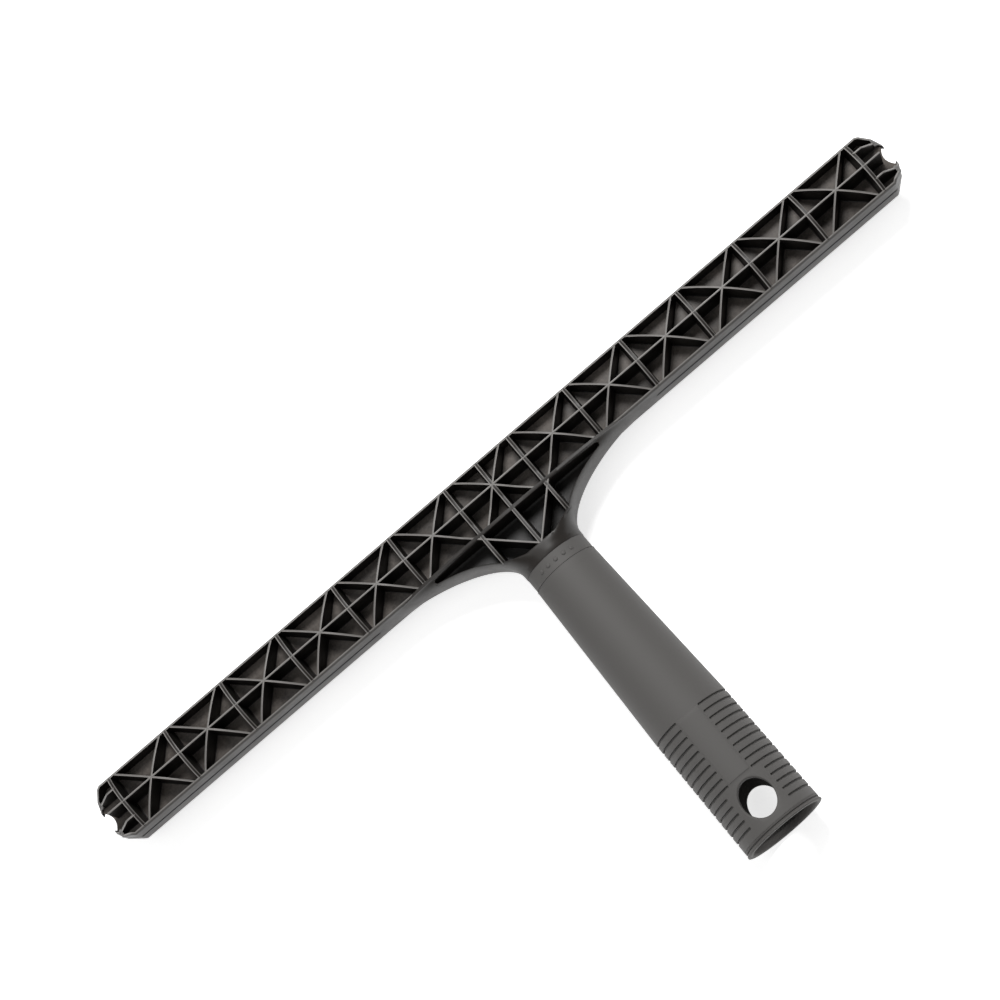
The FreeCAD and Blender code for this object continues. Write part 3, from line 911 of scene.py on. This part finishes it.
class WASHER_OT_end_fins(bpy.types.Operator):
    """Builds the short sloped fins on the bar's toothed ends"""

    bl_idname = "washer.end_fins"
    bl_label = "End fins"

    def execute(self, context):
        lump = Lump()
        for side in (1, -1):
            for level in (1, -1):
                y = SPINE_Y + head().fin_offset * level
                tip = end_x(head().fin_offset) - 0.3 * MM
                rib(lump, (last_rib_x() * side, y), (tip * side, y), 16, height_at=tooth_height)
                self.tooth(lump, side, level)
        lump.piece("end_fins", material("rib_plastic"), "head_plastic")
        return {"FINISHED"}

    @staticmethod
    def tooth(lump, side, level):
        """Solid tip between the fin and the corner wall, its top sloped to the point."""
        sizes = head()
        inner = HALF_LENGTH - sizes.bend_setback - sizes.wall
        inset = 0.2 * MM
        plan = [(inner, sizes.tip_offset + inset), (inner, sizes.bend_offset - 0.4 * MM),
                (HALF_LENGTH - sizes.bend_setback - inset, sizes.bend_offset - inset),
                (HALF_LENGTH - inset * 1.5, sizes.tip_offset + inset)]
        middle = Vector((sum(x for x, _ in plan) / 4, sum(v for _, v in plan) / 4))
        rings = []
        for share, drop in ((0.84, 0.0), (0.96, 0.12), (1.0, 0.4)):
            ring = []
            for corner in plan:
                x, across = middle.lerp(Vector(corner), share)
                y = SPINE_Y + across * level
                top = max(tooth_height(x, y) - drop * MM, 0.4 * MM)
                ring.append((x * side, y, top))
            rings.append(ring)
        rings += [[(x, y, -z) for x, y, z in ring] for ring in reversed(rings)]
        # Marks: paler crest edges for wear and painted highlight, lower marks on the sides for some
        # painted shade.
        lump.add(rings, [[mark] * 4 for mark in (0.62, 0.8, 0.4, 0.4, 0.8, 0.62)])


# ---------------------------------------------------------------- the neck
RING_POINTS = 96
NECK_RINGS = 26


def section_ring(y, wide, high, boxiness):
    """One ring of the neck across Y."""
    ring = []
    for step in range(RING_POINTS):
        spin = 2 * math.pi * step / RING_POINTS
        across, up = math.cos(spin), math.sin(spin)
        reach = (abs(across) ** boxiness + abs(up) ** boxiness) ** (-1 / boxiness)
        ring.append((wide * across * reach, y, high * up * reach))
    return ring


def neck_pocket_plan():
    """Half of the neck pockets' outline in plan, from the axis at the foot round to the arch."""
    sizes = head()
    low = SHOULDER_Y + sizes.neck_floor
    high = SPINE_Y - HALF_WIDTH + sizes.wall - sizes.arch
    centre = NECK_RADIUS + sizes.neck_flare
    across, along = sizes.neck_flare + sizes.neck_wall, neck_span() + sizes.neck_wall
    corner = sizes.centre_cell / 2 - sizes.corner_cut
    points = [(0.0, low), (corner * 0.35, low), (corner * 0.7, low + 0.05 * MM),
              (corner * 0.95, low + 0.9 * MM), (corner * 1.25, low + 2.0 * MM)]
    top_turn = math.asin(min((high - 1.3 * MM - stem_y()) / along, 1.0))
    low_turn = math.asin((low + 4.2 * MM - stem_y()) / along)
    for step in range(15):
        turn = low_turn + (top_turn - low_turn) * step / 14
        points.append((centre - across * math.cos(turn), stem_y() + along * math.sin(turn)))
    far = centre - across * math.cos(top_turn)
    points += [(far + 0.5 * MM, high - 0.7 * MM), (far + 0.1 * MM, high - 0.15 * MM)]
    points += [((far - 0.7 * MM) * (1 - step / 20), high) for step in range(20)]
    return points


def pocket_tool(name, front):
    """Cutter for the neck's pockets: rounded at the floor, flared where it leaves the skin."""
    half = neck_pocket_plan()
    plan = half + [(0.0, half[-1][1])] + [(-x, y) for x, y in reversed(half[1:])]
    middle = Vector((0.0, sum(y for _, y in plan) / len(plan)))
    web = head().web / 2

    def pushed(amount):
        """The outline moved out along its own normals."""
        moved = []
        count = len(plan)
        for index, (x, y) in enumerate(plan):
            before, after = Vector(plan[index - 1]), Vector(plan[(index + 1) % count])
            run = (after - before).normalized()
            normal = Vector((run.y, -run.x))
            if normal.dot(Vector((x, y)) - middle) < 0:
                normal = -normal
            moved.append((x + normal.x * amount, y + normal.y * amount))
        return moved

    rings = []
    for push, depth in ((-0.45, 0.0), (-0.2, 0.08), (-0.05, 0.25), (0.0, 0.6)):
        rings.append([(x, y, web + depth * MM) for x, y in pushed(push * MM)])
    for push, below in ((0.0, 0.5), (0.06, 0.25), (0.2, 0.06), (0.5, -0.05), (0.9, -0.6)):
        rings.append([(x, y, crest_height(x, y) - below * MM) for x, y in pushed(push * MM)])
    rings.append([(x, y, NECK_RADIUS * 1.6) for x, y in pushed(0.9 * MM)])
    if not front:
        rings = [[(x, y, -z) for x, y, z in ring] for ring in rings]
    vertices = [v for ring in rings for v in ring]
    tool = add_piece(name, vertices, bridge(rings), material("neck_plastic"), None)
    recalculate_outwards(tool.data)
    return tool


class WASHER_OT_neck(bpy.types.Operator):
    """Builds the flared neck with its pockets and the ribs inside them"""

    bl_idname = "washer.neck"
    bl_label = "Neck"

    def execute(self, context):
        rings = []
        for rise, inset in ((0.0, 0.35 * MM), (0.1 * MM, 0.1 * MM), (0.35 * MM, 0.0)):
            radius = NECK_RADIUS - inset
            rings.append(section_ring(SHOULDER_Y + rise, radius, radius, 2.0))
        for step in range(NECK_RINGS + 1):
            share = math.sin(math.pi / 2 * step / NECK_RINGS)
            rings.append(section_ring(stem_y() + neck_span() * share, *neck_section(share)))
        rings.append([(x, SPINE_Y - HALF_WIDTH + head().wall, z) for x, _, z in rings[-1]])
        vertices = [v for ring in rings for v in ring]
        neck = add_piece("neck_shell", vertices, bridge(rings), material("neck_plastic"), None)
        recalculate_outwards(neck.data)
        subtract(neck, [pocket_tool("front_tool", True), pocket_tool("back_tool", False)])
        neck.data.shade_smooth()
        neck.data.set_sharp_from_angle(angle=math.radians(32))
        # Crest marks for the neck: plain on the skin, falling to 0 where the surface sinks into the
        # pockets, which paints shade there.
        layer = neck.data.attributes.new("crest", "FLOAT", "POINT")
        for spot, vertex in zip(layer.data, neck.data.vertices):
            x, y, z = vertex.co
            sunk = crest_height(x, y) - abs(z)
            spot.value = 0.5 * (1 - smooth_step((sunk - 0.35 * MM) / (0.5 * MM)))
        settle(neck)

        ribs = Lump()
        sizes = head()
        top = SPINE_Y - HALF_WIDTH + sizes.wall / 2
        foot = SHOULDER_Y + sizes.neck_floor - 0.4 * MM
        rib(ribs, (0, foot), (0, top), 16, **TWIN_HIGHLIGHT_EDGES)
        first = sizes.centre_cell / 2
        node = first + sizes.cell_pitch / 2
        for side in (1, -1):
            side_foot = foot + sizes.corner_cut * 0.7
            rib(ribs, (first * side, side_foot), (first * side, top), 16, **TWIN_HIGHLIGHT_EDGES)
            drop = SPINE_Y - foot
            start_drop = SPINE_Y - top
            rib(ribs, ((node - drop) * side, foot), ((node - start_drop) * side, top), 20)
        ribs.piece("neck_ribs", material("rib_plastic"), "head_plastic")
        return {"FINISHED"}


# ---------------------------------------------------------------- the handle
AROUND = 288
SPIGOT_LENGTH = 10.0 * MM       # plug of the head inside the handle
SEAT_DEPTH = 1.85 * MM          # from the neck's skin to the plug's seat
STRIP_GAP = 2.2 * MM            # from the oval hole to the smooth strip


def skin_radius(y):
    """Outer radius of the handle, without its grip lines."""
    sizes = grip()
    top = SHOULDER_Y - sizes.band_length
    if y <= sizes.grip_top:
        share = (y - handle_low[1]) / (sizes.grip_top - handle_low[1])
        return MOUTH_RADIUS + (sizes.grip_radius - MOUTH_RADIUS) * share
    share = min((y - sizes.grip_top) / (top - sizes.grip_top), 1.0)
    return sizes.grip_radius + (NECK_RADIUS - sizes.grip_radius) * share


def smooth_step(value):
    value = min(max(value, 0.0), 1.0)
    return value * value * (3 - 2 * value)


def panel_lift(x, y):
    """How far the smooth strip between the grip lines stands out."""
    sizes = grip()
    edge = 0.25 * MM
    foot = HOLE_Y + sizes.hole_height / 2 + STRIP_GAP
    top = sizes.grip_top - sizes.grip_line / 2
    along = smooth_step((top - y) / edge + 0.5) * smooth_step((y - foot) / edge + 0.5)
    across = smooth_step((sizes.panel / 2 - 0.3 * MM - abs(x)) / edge + 0.5)
    return sizes.panel_rise * along * across


def handle_rows():
    """Stations along the handle, closer where its skin changes."""
    sizes = grip()
    band_foot = SHOULDER_Y - sizes.band_length
    low, top = handle_low[1], sizes.grip_top
    foot = HOLE_Y + sizes.hole_height / 2 + STRIP_GAP
    rows = [low + (top - low) * step / 24 for step in range(25)]
    for edge in (foot, top - sizes.grip_line / 2):
        rows += [edge + offset * MM for offset in (-0.15, -0.05, 0.05, 0.15)]
    rows += [top + (band_foot - top) * step / 24 for step in range(1, 24)]
    return sorted(set(round(row, 7) for row in rows))


def lathe_ring(y, radius, lift=None):
    ring = []
    for step in range(AROUND):
        spin = 2 * math.pi * step / AROUND
        reach = radius
        if lift:
            reach += lift(radius * math.cos(spin), y)
        ring.append((reach * math.cos(spin), y, reach * math.sin(spin)))
    return ring


def hollow_turning(rings):
    """Vertices and faces of a turned piece whose last ring joins its first."""
    faces = bridge(rings, closed_ends=False)
    last = (len(rings) - 1) * AROUND
    for spot in range(AROUND):
        following = (spot + 1) % AROUND
        faces.append((last + spot, last + following, following, spot))
    return [v for ring in rings for v in ring], faces


def hole_tool():
    """Cutter for the oval hole: straight inside, flared where it leaves the skin."""
    sizes = grip()
    steps = 64

    def oval_ring(push, z_of):
        ring = []
        for step in range(steps):
            spin = 2 * math.pi * step / steps
            x = (sizes.hole_width / 2 + push) * math.cos(spin)
            y = HOLE_Y + (sizes.hole_height / 2 + push) * math.sin(spin)
            ring.append((x, y, z_of(x, y)))
        return ring

    def skin(x, y):
        return math.sqrt(skin_radius(y) ** 2 - x ** 2)

    half = [(0.0, 1.1), (0.06, 0.6), (0.2, 0.28), (0.45, 0.06), (0.8, -0.1), (1.0, -0.6)]
    rings = [oval_ring(1.0 * MM, lambda x, y: -MOUTH_RADIUS * 1.3)]
    for push, below in reversed(half):
        rings.append(oval_ring(push * MM, lambda x, y, b=below: -(skin(x, y) - b * MM)))
    for push, below in half:
        rings.append(oval_ring(push * MM, lambda x, y, b=below: skin(x, y) - b * MM))
    rings.append(oval_ring(1.0 * MM, lambda x, y: MOUTH_RADIUS * 1.3))
    vertices = [v for ring in rings for v in ring]
    tool = add_piece("hole_tool", vertices, bridge(rings), material("handle_plastic"), None)
    recalculate_outwards(tool.data)
    return tool


class WASHER_OT_handle(bpy.types.Operator):
    """Builds the hollow tapered handle with its sunk band and oval hole"""

    bl_idname = "washer.handle"
    bl_label = "Handle"

    def execute(self, context):
        sizes = grip()
        band_foot = SHOULDER_Y - sizes.band_length
        sunk = NECK_RADIUS - sizes.band_depth
        rings = [lathe_ring(y, skin_radius(y), panel_lift) for y in handle_rows()]
        edge = 0.22 * MM
        for y, radius in (
            (band_foot - edge, NECK_RADIUS - 0.01 * MM),
            (band_foot - edge * 0.3, NECK_RADIUS - edge * 0.3),
            (band_foot, NECK_RADIUS - edge),
            (band_foot + edge * 0.2, sunk + edge),
            (band_foot + edge * 0.6, sunk + edge * 0.25),
            (band_foot + edge * 1.5, sunk),
            (SHOULDER_Y, sunk),
        ):
            rings.append(lathe_ring(y, radius))
        spigot_foot = SHOULDER_Y - SPIGOT_LENGTH
        inside = NECK_RADIUS - SEAT_DEPTH
        for y, radius in (
            (SHOULDER_Y, inside),
            (spigot_foot, inside),
            (sizes.socket_depth, sizes.bore),
            (sizes.socket_depth * 0.5, sizes.bore),
            (handle_low[1], sizes.bore),
        ):
            rings.append(lathe_ring(y, radius))
        tube = add_piece("handle_tube", *hollow_turning(rings), material("handle_plastic"), None)
        recalculate_outwards(tube.data)
        subtract(tube, [hole_tool()] + self.grip_tools())
        tube.data.shade_smooth()
        tube.data.set_sharp_from_angle(angle=math.radians(40))
        settle(tube)
        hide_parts("handle")
        return {"FINISHED"}

    def grip_tools(self):
        """Cutters for the grip lines: long ones beside the strip, short ones by the hole."""
        sizes = grip()
        tree = grip_row_tree()
        long_count = sizes.grip_lines - sizes.lines_beside_hole
        taper = (MOUTH_RADIUS - sizes.grip_radius) / (sizes.grip_top - handle_low[1])
        tools = []
        for name, first, count, smooth in (
            ("long_lines", 0, long_count, sizes.panel),
            ("short_lines", long_count, sizes.lines_beside_hole, sizes.hole_land),
        ):
            start = sizes.grip_top - sizes.grip_pitch * first - sizes.grip_line / 2
            radius = skin_radius(start)
            tools.append(repeat(self.line_tool(name, radius, smooth / 2), tree, "handle_plastic",
                                Count=count, Start=start, Pitch=sizes.grip_pitch,
                                Growth=taper * sizes.grip_pitch / radius))
        return tools

    @staticmethod
    def line_tool(name, radius, smooth):
        """Cutter for one grip line about Y = 0 on the +X side, with rounded ends."""
        half, deep = grip().grip_line / 2, grip().grip_line
        profile = [(-0.75, -deep), (-1.0, -deep * 0.6), (-1.05, -0.12 * MM), (-1.5, 0.04 * MM),
                   (-1.6, 0.6 * MM), (1.6, 0.6 * MM), (1.5, 0.04 * MM), (1.05, -0.12 * MM),
                   (1.0, -deep * 0.6), (0.75, -deep)]
        reach = math.acos(smooth / radius)
        turn = 0.35 * MM / radius
        ends = [reach - turn * (1 - math.cos(math.pi / 2 * step / 5)) for step in range(6)]
        steps = [ends[0] + turn * 0.02] + ends
        steps += [ends[-1] * (1 - step / 20) for step in range(1, 20)]
        angles = [-a for a in steps] + [0.0] + list(reversed(steps))
        rings = []
        for angle in angles:
            left = min(max((reach + turn * 0.02 - abs(angle)) / turn, 0.02), 1.0)
            width = half * math.sqrt(1 - (1 - left) ** 2)
            across, up = math.cos(angle), math.sin(angle)
            rings.append([((radius + rise) * across, along * width, (radius + rise) * up)
                          for along, rise in profile])
        vertices = [v for ring in rings for v in ring]
        tool = add_piece(name, vertices, bridge(rings), material("handle_plastic"), None)
        recalculate_outwards(tool.data)
        return tool


class WASHER_OT_band_pips(bpy.types.Operator):
    """Builds the small raised pips in the sunk band"""

    bl_idname = "washer.band_pips"
    bl_label = "Band pips"

    def execute(self, context):
        sizes = grip()
        tree = pip_row_tree()
        base = NECK_RADIUS - sizes.band_depth
        middle = SHOULDER_Y - sizes.band_length * 0.5
        rings = []
        for radius, lift in ((0.8, -0.2), (0.8, 0.1), (0.72, 0.22), (0.5, 0.32), (0.2, 0.36)):
            rings.append([(radius * MM * math.cos(math.tau * k / 20),
                           middle + radius * MM * math.sin(math.tau * k / 20), base + lift * MM)
                          for k in range(20)])
        vertices = [v for ring in rings for v in ring]
        pip = add_piece("band_pips", vertices, bridge(rings), material("handle_plastic"), None)
        recalculate_outwards(pip.data)
        settle(repeat(pip, tree, "handle_plastic", Count=sizes.pips, Angle=0.28))
        return {"FINISHED"}


class WASHER_OT_mouth_ring(bpy.types.Operator):
    """Builds the ring that closes the handle's mouth"""

    bl_idname = "washer.mouth_ring"
    bl_label = "Mouth ring"

    def execute(self, context):
        sizes = grip()
        top = handle_low[1]
        outer, lip, bore = MOUTH_RADIUS, LIP_RADIUS, sizes.bore
        profile = [
            (top, bore + 0.95 * MM), (top, outer - 0.15 * MM), (top - 0.12 * MM, outer),
            (1.62 * MM, outer), (1.5 * MM, outer - 0.1 * MM), (1.42 * MM, outer - 0.42 * MM),
            (1.1 * MM, outer - 0.42 * MM), (1.0 * MM, outer - 0.1 * MM), (0.9 * MM, outer + 0.05 * MM),
            (0.55 * MM, lip - 0.06 * MM), (0.3 * MM, lip), (0.12 * MM, lip - 0.08 * MM),
            (0.0, lip - 0.35 * MM), (0.0, bore + 0.75 * MM), (0.1 * MM, bore + 0.45 * MM),
            (0.6 * MM, bore + 0.12 * MM), (1.4 * MM, bore), (collar_high[1], bore),
            (collar_high[1], bore + 0.95 * MM),
        ]
        rings = [lathe_ring(y, radius) for y, radius in profile]
        ring = add_piece("mouth_ring", *hollow_turning(rings), material("collar_plastic"),
                         "collar_plastic", sharp=45.0)
        recalculate_outwards(ring.data)
        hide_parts("mouth_collar")
        return {"FINISHED"}


# ---------------------------------------------------------------- stage
class WASHER_OT_stage(bpy.types.Operator):
    """Sets the pale floor, the soft lights and the camera"""

    bl_idname = "washer.stage"
    bl_label = "Stage"

    def execute(self, context):
        scene = context.scene
        scene.view_settings.view_transform = "Standard"
        world = bpy.data.worlds.new("soft_room")
        world.use_nodes = True
        background = world.node_tree.nodes["Background"]
        background.inputs["Color"].default_value = (1.0, 1.0, 1.0, 1.0)
        background.inputs["Strength"].default_value = 0.2
        scene.world = world

        paper = bpy.data.materials.new("floor_paper")
        paper.use_nodes = True
        shader = next(n for n in paper.node_tree.nodes if n.type == "BSDF_PRINCIPLED")
        shader.inputs["Base Color"].default_value = (*finishes().floor, 1.0)
        shader.inputs["Roughness"].default_value = 0.9
        shader.inputs["Specular IOR Level"].default_value = 0.1
        shader.inputs["Emission Color"].default_value = (*finishes().floor, 1.0)
        shader.inputs["Emission Strength"].default_value = 0.75
        side = 4.0
        corners = [(-side, -side, FLOOR_Z), (side, -side, FLOOR_Z), (side, side, FLOOR_Z),
                   (-side, side, FLOOR_Z)]
        floor = add_piece("floor", corners, [(0, 1, 2, 3)], paper, None)

        self.light("key_light", (0.25, 0.7, 1.15), (0.0, 0.12, 0.0), 0.4, 14.0)
        self.light("fill_light", (-0.5, 0.1, 1.2), (0.0, 0.08, 0.0), 0.8, 3.0)
        self.camera(scene)
        return {"FINISHED"}

    @staticmethod
    def light(name, place, target, size, power):
        lamp = bpy.data.lights.new(name, "AREA")
        lamp.shape = "DISK"
        lamp.size = size
        lamp.energy = power
        holder = bpy.data.objects.new(name, lamp)
        bpy.context.scene.collection.objects.link(holder)
        aim = Vector(target) - Vector(place)
        holder.location = place
        holder.rotation_euler = aim.to_track_quat("-Z", "Y").to_euler()

    @staticmethod
    def camera(scene):
        """Looks down on the front from above the mouth, with the bar rising to the right."""
        eye = Vector((23.7 * MM, SPINE_Y - 281.0 * MM, 1061.7 * MM))
        target = Vector((-1.7 * MM, SPINE_Y - 2.9 * MM, 0.0))
        forward = (target - eye).normalized()
        level = forward.cross(Vector((0.0, 0.0, 1.0))).normalized()
        right = Matrix.Rotation(math.radians(45.66), 3, forward) @ level
        turn = Matrix((right, right.cross(forward), -forward)).transposed()
        lens_data = bpy.data.cameras.new("camera")
        lens_data.lens = 115.6
        lens_data.sensor_width = 36.0
        lens_data.clip_start = 0.05
        viewer = bpy.data.objects.new("camera", lens_data)
        scene.collection.objects.link(viewer)
        viewer.matrix_world = Matrix.Translation(eye) @ turn.to_4x4()
        scene.camera = viewer


# ---------------------------------------------------------------- panel and registration
class WASHER_PT_panel(bpy.types.Panel):
    """Lists the pieces of the sleeve holder"""

    bl_idname = "WASHER_PT_panel"
    bl_label = "Sleeve holder"
    bl_space_type = "VIEW_3D"
    bl_region_type = "UI"
    bl_category = "Washer"

    def draw(self, context):
        for step in STEPS:
            self.layout.operator(step.bl_idname)
        for group in (context.scene.washer_head, context.scene.washer_handle,
                      context.scene.washer_finishes):
            for name in group.__annotations__:
                self.layout.prop(group, name)


STEPS = (
    WASHER_OT_finishes,
    WASHER_OT_web_plate,
    WASHER_OT_side_walls,
    WASHER_OT_bar_ribs,
    WASHER_OT_end_fins,
    WASHER_OT_neck,
    WASHER_OT_handle,
    WASHER_OT_band_pips,
    WASHER_OT_mouth_ring,
    WASHER_OT_stage,
)
GROUPS = (HeadSizes, HandleSizes, Finishes)


def register():
    for group in GROUPS + STEPS + (WASHER_PT_panel,):
        bpy.utils.register_class(group)
    bpy.types.Scene.washer_head = PointerProperty(type=HeadSizes)
    bpy.types.Scene.washer_handle = PointerProperty(type=HandleSizes)
    bpy.types.Scene.washer_finishes = PointerProperty(type=Finishes)


def unregister():
    del bpy.types.Scene.washer_finishes
    del bpy.types.Scene.washer_handle
    del bpy.types.Scene.washer_head
    for group in reversed(GROUPS + STEPS + (WASHER_PT_panel,)):
        bpy.utils.unregister_class(group)


def main():
    """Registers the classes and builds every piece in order."""
    register()
    for step in STEPS:
        family, action = step.bl_idname.split(".")
        getattr(getattr(bpy.ops, family), action)()


if __name__ == "__main__":
    main()
